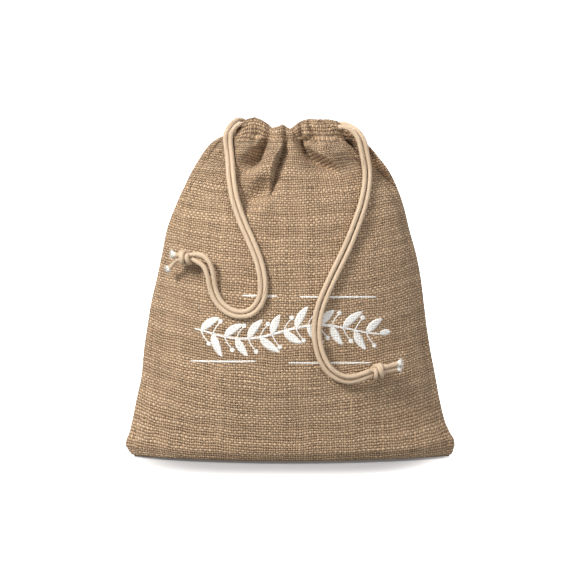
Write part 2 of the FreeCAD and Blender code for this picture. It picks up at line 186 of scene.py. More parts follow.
def jute(name, tint=(1, 1, 1)):
    t = Tree(name)
    base, h, rand, fib, top = weave(t)
    mottle = t.noise(base, 0.022, 3.0, 0.6)
    k = lambda c: tuple(a * b for a, b in zip(c, tint))
    tone = t.m("ADD", t.m("MULTIPLY", rand, 0.55), t.m("ADD", t.m("MULTIPLY", fib, 1.2), -0.42), clamp=True)
    warp = t.mix(tone, k((0.398, 0.256, 0.150)), k((0.615, 0.421, 0.264)))
    weft = t.mix(tone, k((0.510, 0.339, 0.204)), k((0.850, 0.615, 0.404)))
    col = t.mix(top, weft, warp)
    col = t.mix(t.ramp(mottle, 0.35, 0.70, 0.0, 0.30), col, k((0.460, 0.295, 0.185)))
    speck = t.ramp(t.noise(t.vec(t.m("MULTIPLY", t.sep(base)[0], 0.6), t.sep(base)[1], 21.0), 0.33, 2.0), 0.70, 0.76, 0.0, 0.45)
    col = t.mix(speck, col, k((0.80, 0.68, 0.52)))
    # painted shade: the colour goes near-black where the weave height is low, in the gaps between the threads
    col = t.mix(t.ramp(h, 0.14, 0.87, 1.0, 0.0), col, k((0.060, 0.034, 0.018)))
    hh = t.m("ADD", h, t.m("MULTIPLY", fib, 0.22))
    t.bump(hh, 0.0016, 1.0)
    t.set(Base_Color=col, Roughness=0.86)
    t.set(Sheen_Weight=0.12, Sheen_Roughness=0.5, Specular_IOR_Level=0.18)
    t.bsdf.inputs["Sheen Tint"].default_value = (0.95, 0.82, 0.65, 1)
    return t.mat


def ink_mat():
    t = Tree("white_print_ink")
    base, h, rand, fib, top = weave(t)
    cover = t.ramp(h, 0.16, 0.42)
    speck = t.ramp(t.noise(base, 0.9, 2.0, 0.6), 0.30, 0.42)
    cover = t.m("MULTIPLY", cover, speck)
    white = t.mix(fib, (0.80, 0.78, 0.74), (0.93, 0.92, 0.90))
    col = t.mix(cover, (0.46, 0.34, 0.23), white)
    t.bump(t.m("ADD", h, t.m("MULTIPLY", fib, 0.1)), 0.0005, 0.8)
    t.set(Base_Color=col, Roughness=0.72, Specular_IOR_Level=0.25)
    return t.mat


def cord_mat(name="waxed_cotton_cord", light=(0.680, 0.525, 0.370), mid=(0.490, 0.350, 0.222)):
    """UV: x along the cord in mm, y round it from 0 to 1."""
    t = Tree(name)
    uvz = t.sep(t.uv())
    twist = t.m("ADD", t.m("MULTIPLY", uvz[1], 6.0), t.m("MULTIPLY", uvz[0], 0.55))
    tw = t.m("ABSOLUTE", t.m("SUBTRACT", t.m("FRACT", twist), 0.5))
    along = t.noise(t.vec(t.m("MULTIPLY", uvz[0], 0.12), t.m("MULTIPLY", uvz[1], 3.0), 0.0), 1.0, 2.0)
    fib = t.noise(t.vec(t.m("MULTIPLY", uvz[0], 0.8), t.m("MULTIPLY", uvz[1], 40.0), 1.0), 1.0, 2.0, 0.6)
    col = t.mix(t.m("ADD", t.m("MULTIPLY", along, 0.7), t.m("MULTIPLY", fib, 0.45), clamp=True), mid, light)
    # painted shade: the colour darkens towards the groove between the twisted plies
    col = t.mix(t.ramp(tw, 0.42, 0.5, 0.0, 0.35), col, tuple(c * 0.55 for c in mid))
    t.bump(t.m("ADD", t.ramp(tw, 0.5, 0.30, 0.0, 1.0), t.m("MULTIPLY", fib, 0.35)), 0.00018, 0.8)
    t.set(Base_Color=col, Roughness=0.48)
    t.set(Sheen_Weight=0.15, Specular_IOR_Level=0.45)
    return t.mat


def thread_mat(name, a=(0.62, 0.48, 0.32), b=(0.45, 0.32, 0.19)):
    t = Tree(name)
    p = t.sep(t.obj())
    s = t.m("ADD", t.m("ADD", t.m("MULTIPLY", p[0], 3500.0), t.m("MULTIPLY", p[2], 3500.0)), t.m("MULTIPLY", p[1], 2000.0))
    w = t.m("ADD", t.m("MULTIPLY", t.m("SINE", s), 0.5), 0.5)
    n = t.noise(t.obj(), 2500.0, 2.0)
    # colour follows the twist stripe: lighter on the ridges and darker in the grooves (painted shade), mixed with
    # random noise
    t.set(Base_Color=t.mix(t.m("MULTIPLY", t.m("ADD", w, n), 0.5), b, a), Roughness=0.7)
    t.bump(w, 0.00008, 0.7)
    return t.mat


JUTE = jute("jute_plain_weave")
# painted light: the inside face is the same jute tinted lighter, to brighten it where it lies in shade, as in the side
# slit
JUTE_INSIDE_LIT = jute("jute_inside_painted_lighter", (1.10, 1.04, 0.98))
INK = ink_mat()
CORD = cord_mat()
TIP = cord_mat("frayed_cotton_tip", (0.93, 0.91, 0.87), (0.84, 0.80, 0.73))
THREAD = thread_mat("seam_thread", (0.52, 0.37, 0.23), (0.36, 0.24, 0.14))
STITCH = thread_mat("channel_thread", (0.62, 0.45, 0.29), (0.50, 0.35, 0.22))


# =============================================================== mesh helpers
def make_mesh(name, verts, faces, mat, uvs=None, smooth=True):
    me = bpy.data.meshes.new(name)
    me.from_pydata([tuple(v) for v in np.asarray(verts) * MM], [], [tuple(int(i) for i in f) for f in faces])
    me.materials.append(mat)
    if uvs is not None:
        layer = me.uv_layers.new(name="flat")
        idx = np.empty(len(me.loops), dtype=np.int64)
        me.loops.foreach_get("vertex_index", idx)
        layer.data.foreach_set("uv", np.asarray(uvs, dtype=np.float32)[idx].ravel())
    me.polygons.foreach_set("use_smooth", [smooth] * len(me.polygons))
    me.update()
    o = bpy.data.objects.new(name, me)
    scene.collection.objects.link(o)
    return o


def pchip(xs, ys, x):
    xs, ys = np.asarray(xs, float), np.asarray(ys, float)
    h = np.diff(xs)
    d = np.diff(ys) / h
    m = np.zeros(len(xs))
    m[0], m[-1] = d[0], d[-1]
    for i in range(1, len(xs) - 1):
        if d[i - 1] * d[i] > 0:
            m[i] = (h[i - 1] + h[i]) * 3 / ((2 * h[i] + h[i - 1]) / d[i - 1] + (h[i] + 2 * h[i - 1]) / d[i])
    x = np.clip(np.asarray(x, float), xs[0], xs[-1])
    k = np.clip(np.searchsorted(xs, x, side="right") - 1, 0, len(xs) - 2)
    t = (x - xs[k]) / h[k]
    return ((2 * t**3 - 3 * t * t + 1) * ys[k] + (t**3 - 2 * t * t + t) * h[k] * m[k]
            + (-2 * t**3 + 3 * t * t) * ys[k + 1] + (t**3 - t * t) * h[k] * m[k + 1])


def smooth01(x):
    x = np.clip(x, 0, 1)
    return x * x * (3 - 2 * x)


class Field:
    """Smooth value noise on a plane, from a fixed lattice."""
    def __init__(self, seed, cell):
        self.g = np.random.default_rng(seed).uniform(-1, 1, (64, 64))
        self.cell = cell

    def __call__(self, x, z):
        a, b = np.asarray(x) / self.cell + 20.3, np.asarray(z) / self.cell + 11.7
        i, j = np.floor(a).astype(int), np.floor(b).astype(int)
        fa, fb = a - i, b - j
        fa, fb = fa**3 * (fa * (6 * fa - 15) + 10), fb**3 * (fb * (6 * fb - 15) + 10)
        g = lambda p, q: self.g[p % 64, q % 64]
        return ((g(i, j) * (1 - fa) + g(i + 1, j) * fa) * (1 - fb) + (g(i, j + 1) * (1 - fa) + g(i + 1, j + 1) * fa) * fb)


# =============================================================== cord routes (repeat the CAD's points)
LEFT_FRONT = [
    (-10.0, -6.9, 246.4), (-19.0, -7.0, 247.2), (-27.5, -7.8, 249.6), (-33.0, -8.6, 253.2),
    (-37.6, -10.4, 253.4), (-41.2, -11.7, 249.6), (-43.6, -12.0, 245.0), (-43.2, -13.0, 237.0),
    (-42.0, -15.1, 228.6), (-41.0, -20.7, 213.5), (-38.3, -25.8, 198.1),
    (-32.7, -31.0, 182.4), (-25.7, -35.6, 167.5), (-19.6, -39.6, 152.6), (-16.5, -42.1, 136.9),
    (-17.8, -43.1, 122.9), (-27.3, -42.5, 112.0), (-41.8, -40.1, 111.6), (-53.3, -36.4, 120.0),
    (-58.5, -34.5, 131.8), (-59.9, -34.9, 142.6), (-63.6, -34.3, 150.6), (-70.8, -31.2, 153.4)]
LEFT_BACK = [
    (-10.0, 8.6, 247.6), (-19.0, 8.6, 248.4), (-27.5, 7.6, 251.2), (-33.4, 3.4, 255.6),
    (-37.0, -2.6, 257.4), (-41.6, -7.6, 254.8), (-45.0, -10.8, 250.4), (-47.5, -12.0, 245.0), (-46.9, -12.4, 237.0),
    (-45.6, -13.9, 228.6), (-44.7, -19.6, 213.4), (-42.0, -25.0, 197.3),
    (-36.3, -30.5, 181.2), (-29.2, -35.3, 166.0), (-23.3, -39.2, 151.8), (-20.4, -41.7, 137.2),
    (-21.4, -42.5, 125.1), (-29.2, -41.9, 115.7), (-39.9, -39.8, 115.3), (-50.0, -36.8, 121.9),
    (-54.8, -35.1, 133.3), (-55.7, -36.1, 144.9), (-59.3, -35.9, 153.9), (-65.9, -33.0, 158.0),
    (-71.3, -32.0, 157.2)]
RIGHT_FRONT = [
    (10.0, -8.9, 243.4), (19.0, -8.8, 244.4), (28.0, -8.4, 247.4), (35.5, -7.6, 250.6),
    (42.0, -9.6, 251.8), (48.6, -11.3, 247.9), (52.6, -12.0, 242.0),
    (54.9, -12.9, 230.8), (57.3, -13.6, 218.5), (56.3, -17.9, 205.9),
    (53.2, -22.6, 192.7), (48.3, -27.4, 179.6), (42.0, -32.6, 164.3), (34.0, -37.8, 148.4),
    (27.3, -40.8, 134.5), (21.6, -42.8, 121.4), (18.8, -43.8, 108.1), (19.0, -43.9, 94.0),
    (22.2, -43.4, 80.6), (29.2, -42.4, 69.3), (40.4, -41.0, 62.9), (51.5, -39.8, 63.5),
    (60.8, -38.0, 67.7)]
RIGHT_BACK = [
    (10.0, 9.9, 244.0), (19.0, 9.6, 245.2), (28.0, 9.0, 248.6), (35.5, 7.6, 252.6),
    (42.0, 3.4, 253.6), (48.2, -3.6, 251.3), (53.4, -9.0, 246.9), (57.0, -11.6, 241.0),
(59.0, -11.6, 230.7), (61.1, -12.2, 218.4), (60.1, -16.5, 205.1),
    (57.0, -21.4, 191.6), (52.1, -26.5, 178.1), (45.9, -31.8, 162.8), (37.8, -37.2, 146.7),
    (31.2, -40.2, 133.0), (25.5, -42.3, 119.8), (22.7, -43.4, 107.3), (22.8, -43.5, 94.7),
    (25.8, -43.7, 82.9), (31.8, -43.8, 72.8), (41.1, -43.1, 67.0), (50.7, -41.1, 67.5),
    (60.2, -39.3, 71.3)]
LEFT_RUN = [
    (-9.7, -6.9, 246.4), (0.0, -6.8, 246.0), (10.0, -6.8, 247.2), (20.0, -7.0, 249.6), (28.0, -6.9, 248.4),
    (34.0, -6.8, 245.4), (38.2, -4.2, 243.8), (38.4, 3.9, 243.8), (34.0, 6.9, 245.0), (27.0, 7.6, 246.8),
    (18.0, 8.2, 248.0), (8.0, 8.4, 247.6), (-1.0, 8.5, 247.4), (-9.7, 8.6, 247.6)]
RIGHT_RUN = [
    (9.7, -8.9, 243.4), (0.0, -8.8, 242.6), (-10.0, -8.8, 242.6), (-20.0, -8.6, 243.0), (-28.0, -8.8, 243.3),
    (-34.0, -8.2, 242.7), (-38.4, -5.0, 242.5), (-38.4, 4.4, 242.5), (-34.0, 7.6, 242.9), (-27.0, 8.8, 243.8),
    (-18.0, 9.6, 243.6), (-8.0, 9.9, 243.4), (1.0, 9.9, 243.6), (9.7, 9.9, 244.0)]
CORD_R = 1.8
LEFT_KNOT = ((-77.0, -30.0, 154.9), (-0.9642, 0.2584, -0.0596), (-0.1171, -0.2129, 0.9700))
RIGHT_KNOT = ((66.4, -37.3, 70.9), (0.9492, 0.2175, 0.2274), (-0.1492, -0.3251, 0.9338))


def nurbs_points(name, pts, res=12):
    """Points read from the NURBS spline whose control points are pts."""
    cu = bpy.data.curves.new(name + "_route", "CURVE")
    cu.dimensions = "3D"
    sp = cu.splines.new("NURBS")
    sp.points.add(len(pts) - 1)
    for q, p in zip(sp.points, pts):
        q.co = (p[0] * MM, p[1] * MM, p[2] * MM, 1)
    sp.order_u = 3
    sp.use_endpoint_u = True
    sp.resolution_u = res
    o = bpy.data.objects.new(name + "_route", cu)
    scene.collection.objects.link(o)
    bpy.context.view_layer.update()
    me = bpy.data.meshes.new_from_object(o)
    out = np.array([v.co[:] for v in me.vertices]) / MM
    bpy.data.objects.remove(o)
    bpy.data.curves.remove(cu)
    bpy.data.meshes.remove(me)
    return out


def frames(p):
    """Parallel-transport frames along a polyline."""
    t = np.gradient(p, axis=0)
    t /= np.linalg.norm(t, axis=1)[:, None]
    n = np.cross(t[0], (0.0, 0.3, 1.0))
    if np.linalg.norm(n) < 0.1:
        n = np.cross(t[0], (1.0, 0.0, 0.0))
    ns = [n / np.linalg.norm(n)]
    for i in range(1, len(p)):
        v = ns[-1] - t[i] * (ns[-1] @ t[i])
        ns.append(v / np.linalg.norm(v))
    ns = np.array(ns)
    return t, ns, np.cross(t, ns)


def tube_arrays(p, radius, sides=18, twist=0.0, lobes=0, depth=0.0, caps=True):
    """Tube round p. radius is a number or one per point. Returns vertices, faces and UVs."""
    p = np.asarray(p, float)
    t, a, b = frames(p)
    s = np.concatenate([[0], np.cumsum(np.linalg.norm(np.diff(p, axis=0), axis=1))])
    r = np.broadcast_to(np.asarray(radius, float), (len(p),))
    ang = np.linspace(0, 2 * math.pi, sides, endpoint=False)
    A = ang[None, :] + (twist * s)[:, None]
    rr = r[:, None] * (1 + depth * np.cos(lobes * ang)[None, :] * np.ones_like(A))
    V = p[:, None, :] + rr[:, :, None] * (np.cos(A)[:, :, None] * a[:, None, :] + np.sin(A)[:, :, None] * b[:, None, :])
    UV = np.stack([np.repeat(s[:, None], sides, 1), np.repeat((ang / (2 * math.pi))[None, :], len(p), 0)], axis=2)
    verts, uvs = V.reshape(-1, 3).tolist(), UV.reshape(-1, 2).tolist()
    faces = []
    n = len(p)
    for i in range(n - 1):
        for j in range(sides):
            k = (j + 1) % sides
            faces.append((i * sides + j, i * sides + k, (i + 1) * sides + k, (i + 1) * sides + j))
    if caps:
        for i, order in ((0, 1), (n - 1, -1)):
            c = len(verts)
            verts.append((p[i] - t[i] * 0.25 * r[i] * order).tolist())
            uvs.append([float(s[i]), 0.5])
            for j in range(sides):
                k = (j + 1) % sides
                faces.append((c, i * sides + k, i * sides + j) if order == 1 else (c, i * sides + j, i * sides + k))
    return verts, faces, uvs


def tube_piece(name, p, radius, mat, **kw):
    v, f, u = tube_arrays(p, radius, **kw)
    return make_mesh(name, v, f, mat, u)


def join_arrays(parts):
    V, F, U = [], [], []
    for v, f, u in parts:
        k = len(V)
        V += [tuple(q) for q in v]
        F += [tuple(i + k for i in q) for q in f]
        U += [tuple(q) for q in u]
    return V, F, U


ROUTE = {}
for key, pts in (("left_front", LEFT_FRONT), ("left_back", LEFT_BACK), ("right_front", RIGHT_FRONT),
                 ("right_back", RIGHT_BACK), ("left_run", LEFT_RUN), ("right_run", RIGHT_RUN)):
    ROUTE[key] = nurbs_points(key, pts)

# =============================================================== cloth
SIL_Z = [0.3, 4.8, 9.4, 14, 18.5, 27.6, 46, 64, 82, 100.6, 119, 137, 155.4, 173.6, 192, 210, 219, 228.4, 237.5, 244, 250]
SIL_L = [117.4, 121.9, 124.0, 123.6, 121.6, 119.3, 115.5, 111.7, 110.0, 107.2, 104.1, 99.8, 95.8, 92, 85.2, 76.9, 72.3, 66.6, 60.0, 51.5, 40.0]
SIL_R = [122.4, 125.6, 126.4, 126.0, 123.4, 119.3, 114.8, 111.4, 107.9, 104.9, 102.6, 100.3, 96.6, 91.4, 86.8, 80.0, 75.0, 67.8, 60.0, 51.5, 40.5]
DEP_Z = [0.0, 1.6, 4.0, 10.0, 28.0, 46.0, 64.0, 101.0, 137.0, 173.0, 205.0, 228.0, 242.0, 250.0]
DEP_D = [24.0, 30.2, 33.2, 35.9, 38.2, 40.5, 42.0, 42.5, 40.5, 34.0, 26.0, 19.5, 15.0, 13.8]
CELL_U = 240
BASE_ROWS = 9
BODY_Z = np.concatenate([[2.1, 2.7, 3.5, 4.5], np.arange(5.8, 186.0, 1.7), np.arange(186.5, 242.0, 1.0)])
HEM_N = 26

# folds: kind, then points (x, z, depth, width). Positive depth is a valley, negative a ridge.
FRONT_FOLDS = [
    ("cusp", [(-2.6, 258, 3.6, 1.2), (-2.6, 247, 4.8, 1.3), (-3.2, 242, 5, 1.6), (-4.2, 238, 0, 2)]),
    ("step", [(-20, 192, 0, 4), (-16.2, 197.6, 1.0, 3.6), (-13.9, 203.6, 3.8, 3.2), (-12.4, 211.6, 8.0, 2.7), (-11.0, 219.4, 11.5, 2.3),
              (-8.3, 227.0, 13.5, 2.1), (-5.3, 233.5, 13.5, 1.9), (-3.4, 240, 10.5, 1.6), (-2.6, 245.5, 4.0, 1.2), (-2.6, 249, 0, 1.2)]),
    ("soft", [(-8.6, 254, -1.2, 2.4), (-9.0, 247, -1.8, 3.0), (-10.6, 240, -3.2, 3.2), (-13.4, 233, -4.6, 3.6), (-17.0, 226, -4.8, 4.4),
              (-23.0, 219, -3.8, 5.4), (-30.5, 213.6, -2.2, 6.6), (-38, 209, 0, 8)]),
    ("soft", [(-14.4, 258, 2.6, 1.4), (-14.6, 247, 3.0, 1.5), (-15.4, 242.4, 3.6, 1.5), (-16.8, 238.8, 7.5, 1.9), (-19.4, 234.4, 11.5, 2.6), (-23.2, 229.4, 13.5, 3.7),
              (-27.8, 223.8, 10.5, 4.4), (-32.4, 218.8, 6.0, 4.8), (-37.8, 213.6, 2.4, 5.6), (-43, 209, 0, 7)]),
    ("soft", [(-12.9, 213, 2.0, 3.0), (-16.9, 208.0, 7.4, 4.6), (-22.7, 203.2, 9.4, 6.0), (-29.3, 198.0, 6.6, 7.0), (-37.5, 190.5, 2.6, 9), (-46.5, 185, 0, 10)]),
    ("soft", [(-12.6, 200, -1.2, 4), (-18.6, 193.0, -4.2, 5.4), (-26, 185, -4.0, 6.8), (-35, 173, 0, 10)]),
    ("cusp", [(-25.9, 258, 3.6, 1.6), (-24.4, 251.3, 3.0, 1.6), (-23.9, 245.3, 4.0, 2.0), (-26.5, 238, 2.6, 3.0), (-31, 231, 0, 5)]),
    ("soft", [(-20.5, 244.5, -1.2, 2.2), (-26.0, 239.0, -3.0, 3.2), (-32.5, 231.5, -3.0, 4.2), (-40, 222.5, 0, 6)]),
    ("soft", [(-33, 246, -1.4, 4.5), (-35, 238, -1.8, 6), (-40, 229, -1.8, 8), (-47, 218, 0, 10)]),
    ("cusp", [(-43, 239.5, 0.5, 1.2), (-46.0, 236, 1.4, 1.4), (-50.8, 231.5, 1.4, 1.7), (-57, 224.8, 0.2, 2.6)]),
    ("cusp", [(-44, 233.5, 0.5, 1.2), (-48.6, 228.1, 1.3, 1.5), (-53.5, 221.4, 0.2, 2.6)]),
    ("cusp", [(-48, 241.5, 0.4, 1.0), (-53.5, 236, 1.0, 1.3), (-59.5, 229.5, 0.1, 2.0)]),
    ("cusp", [(8.8, 258, 3.8, 1.3), (9.2, 250, 4.6, 1.4), (9.8, 245.6, 5.0, 1.5), (10.4, 241.4, 4, 2.0), (11.6, 237, 0, 3)]),
    ("step", [(9.2, 246.5, 2.0, 1.4), (10.2, 243.0, 8.0, 1.6), (11.8, 238.0, 14.0, 2.0), (14.8, 234.3, 15.0, 2.4), (18.8, 231.2, 14.5, 2.7),
              (23.6, 228.4, 13.5, 2.9), (29, 225.4, 11.0, 3.1), (34.2, 222.2, 6.0, 3.3), (40, 218.6, 1.4, 4), (45, 214, 0, 5)]),
    ("soft", [(21.5, 242.5, -1.4, 4.0), (26.5, 238.4, -2.6, 4.6), (32.0, 234.4, -2.8, 5.4), (38.5, 229.6, -2.0, 7), (45, 223, 0, 8)]),
    ("soft", [(14, 229, 2.6, 6), (20, 222, 4.8, 8), (27, 215, 4.6, 9), (32, 207, 3.0, 10), (34, 197, 0.6, 12)]),
    ("cusp", [(14.9, 258, 3.6, 1.0), (15.6, 252, 4.0, 1.1), (17.4, 247.2, 5.0, 1.2), (20.0, 242.7, 5.0, 1.5), (22.8, 238.4, 1.2, 2.4)]),
    ("cusp", [(3.4, 253.3, 2.6, 0.9), (4.5, 248.3, 4.0, 1.0), (6.5, 243, 4.6, 1.2), (8.4, 238, 1.6, 2)]),
    ("cusp", [(19.6, 259, 3.4, 1.2), (25.0, 254.5, 3.6, 1.3), (31.0, 249.6, 3.2, 1.5), (37.0, 244.2, 2.4, 1.9), (43.5, 237.5, 0, 3)]),
    ("soft", [(6.2, 257, -0.8, 1.6), (7.0, 250, -1.0, 1.8), (8.2, 244, -1.4, 2.0), (7.4, 237, -1.0, 3.5), (5, 228, 0, 6)]),
    ("soft", [(2.2, 243, -1.0, 3), (0.8, 234, -2.6, 4.6), (-0.4, 222, -2.8, 7), (-1, 207, -1.4, 11), (-2, 192, 0, 16)]),
    ("soft", [(-70, 214, 0.0, 5), (-66, 200, 1.4, 6), (-67, 184, 1.2, 8), (-72, 168, 0, 10)]),
    ("soft", [(52, 212, 0.0, 6), (56, 196, 1.8, 7), (55, 180, 1.6, 9), (50, 160, 0, 12)]),
    ("cusp", [(-84, 196, 0.0, 3), (-78, 190, 1.0, 2.4), (-70, 186, 0.8, 3), (-62, 184, 0, 5)]),
    ("soft", [(-100, 96, 0.0, 6), (-88, 88, 1.2, 7), (-74, 78, 1.0, 9), (-60, 60, 0, 12)]),
    ("soft", [(96, 70, 0.0, 6), (86, 52, 1.4, 8), (70, 36, 1.2, 9), (52, 22, 0, 10)]),
]
BACK_FOLDS = [
    ("cusp", [(-29, 258, 2.2, 1.8), (-30, 247, 3, 2.0), (-33, 238, 6.5, 2.6), (-39, 226, 6.5, 3.4), (-46, 213, 3.4, 5), (-53, 200, 0, 7)]),
    ("soft", [(-23, 250, -1.5, 4), (-26, 238, -4.5, 5), (-31, 224, -4.5, 6.5), (-37, 210, -2, 8), (-42, 198, 0, 10)]),
    ("cusp", [(-17, 258, 2.4, 1.6), (-17.5, 247, 3, 1.8), (-19, 238, 8, 2.5), (-22, 226, 8.5, 3.2), (-26, 212, 6, 4.5), (-31, 198, 2.5, 7), (-36, 186, 0, 9)]),
    ("soft", [(-10, 250, -1.5, 4), (-11, 238, -5, 5), (-13, 224, -5.5, 6.5), (-16, 208, -2.6, 9), (-18, 192, 0, 12)]),
    ("cusp", [(-5, 258, 2.2, 1.4), (-4.6, 247, 2.8, 1.7), (-4, 238, 7, 2.3), (-4, 227, 7.5, 3.0), (-5, 214, 4.6, 4.5), (-7, 200, 0, 7)]),
    ("soft", [(2, 248, -1.2, 4), (3, 238, -4, 5), (4, 224, -4.4, 6.5), (5, 206, -1.6, 9), (6, 194, 0, 12)]),
    ("cusp", [(8, 258, 2.4, 1.6), (8.8, 247, 3, 1.8), (10.5, 238, 8.5, 2.5), (13.5, 226, 9, 3.2), (18, 211, 6.4, 4.6), (24, 196, 2.6, 7), (29, 184, 0, 10)]),
    ("soft", [(15, 250, -1.4, 4), (17, 238, -5, 5), (21, 224, -5, 6.6), (27, 208, -2.4, 9), (33, 194, 0, 12)]),
    ("cusp", [(22, 258, 2.2, 1.6), (23.5, 247, 3, 1.8), (27, 238, 7.5, 2.5), (33, 226, 7.5, 3.2), (41, 212, 4.4, 4.8), (48, 200, 0, 7)]),
    ("soft", [(29, 248, -1.2, 4), (34, 237, -4, 5), (42, 224, -3.8, 6.6), (50, 210, -1.2, 9), (56, 200, 0, 12)]),
    ("cusp", [(33, 257, 1.6, 1.6), (36, 246, 1.6, 2), (44, 235, 3.2, 2.8), (52, 224, 2.4, 4), (60, 212, 0, 6)]),
    ("soft", [(-60, 200, 0.0, 7), (-56, 184, 1.8, 9), (-50, 164, 1.2, 12), (-46, 144, 0, 16)]),
    ("soft", [(30, 176, 0.0, 8), (36, 158, 1.6, 11), (46, 138, 1.0, 14), (54, 118, 0, 18)]),
]


def fold_field(folds, x, z):
    """Inward displacement at (x, z) from all folds."""
    out = np.zeros(x.shape)
    for kind, pts in folds:
        p = np.array(pts, float)
        best = np.full(x.shape, 1e9)
        sign = np.ones(x.shape)
        dep, wid = np.zeros(x.shape), np.ones(x.shape)
        for a, b in zip(p[:-1], p[1:]):
            d = b[:2] - a[:2]
            ll = d @ d
            t = np.clip(((x - a[0]) * d[0] + (z - a[1]) * d[1]) / ll, 0, 1)
            dist = np.hypot(x - (a[0] + t * d[0]), z - (a[1] + t * d[1]))
            near = dist < best
            best = np.where(near, dist, best)
            cross = d[0] * (z - a[1]) - d[1] * (x - a[0])
            sign = np.where(near, np.where(cross >= 0, 1.0, -1.0), sign)
            dep = np.where(near, a[2] + t * (b[2] - a[2]), dep)
            wid = np.where(near, a[3] + t * (b[3] - a[3]), wid)
        q = best / wid
        if kind == "step":      # a lip on one side that drops steeply into a valley on the other
            sd = best * sign
            lip = -0.55 * np.exp(-np.maximum(sd, 0) / (3.4 * wid))
            low = np.exp(-np.maximum(-sd, 0) / (1.5 * wid))
            mixv = smooth01((sd + 1.25) / 2.5)
            prof = lip * mixv + low * (1 - mixv)
        elif kind == "cusp":
            prof = np.exp(-np.sqrt(q * q + 0.10) + math.sqrt(0.10))
        else:
            prof = np.exp(-0.5 * q * q)
        out += dep * prof
    return out


TOP_X = [-40, -34.2, -30.4, -25.2, -19.9, -15.4, -12.4, -8.6, -4.1, -1.1, 1.1, 4.1, 7.1, 10.9, 16.2, 22.2, 29.7, 35.7, 39.5]
TOP_Z = [251.5, 255.4, 257.6, 258.6, 256.6, 253.8, 250.8, 251.6, 253.4, 251.2, 250.0, 252.0, 254.6, 256.4, 257.6, 256.8, 257.2, 256.0, 253.5]
BTOP_X = [-40, -33, -28, -22, -17, -11, -5, 0, 5, 9, 15, 21, 26, 31, 37, 40]
BTOP_Z = [252, 256.0, 257.2, 257.6, 253.5, 249.5, 247.6, 247.0, 249.0, 251.0, 253.8, 254.4, 253.6, 256.2, 255.6, 253]
bumpy1, bumpy2, bumpy3 = Field(3, 46.0), Field(5, 19.0), Field(8, 8.0)
bumpy4, bumpy5, bumpy6 = Field(13, 44.0), Field(15, 18.0), Field(18, 8.5)


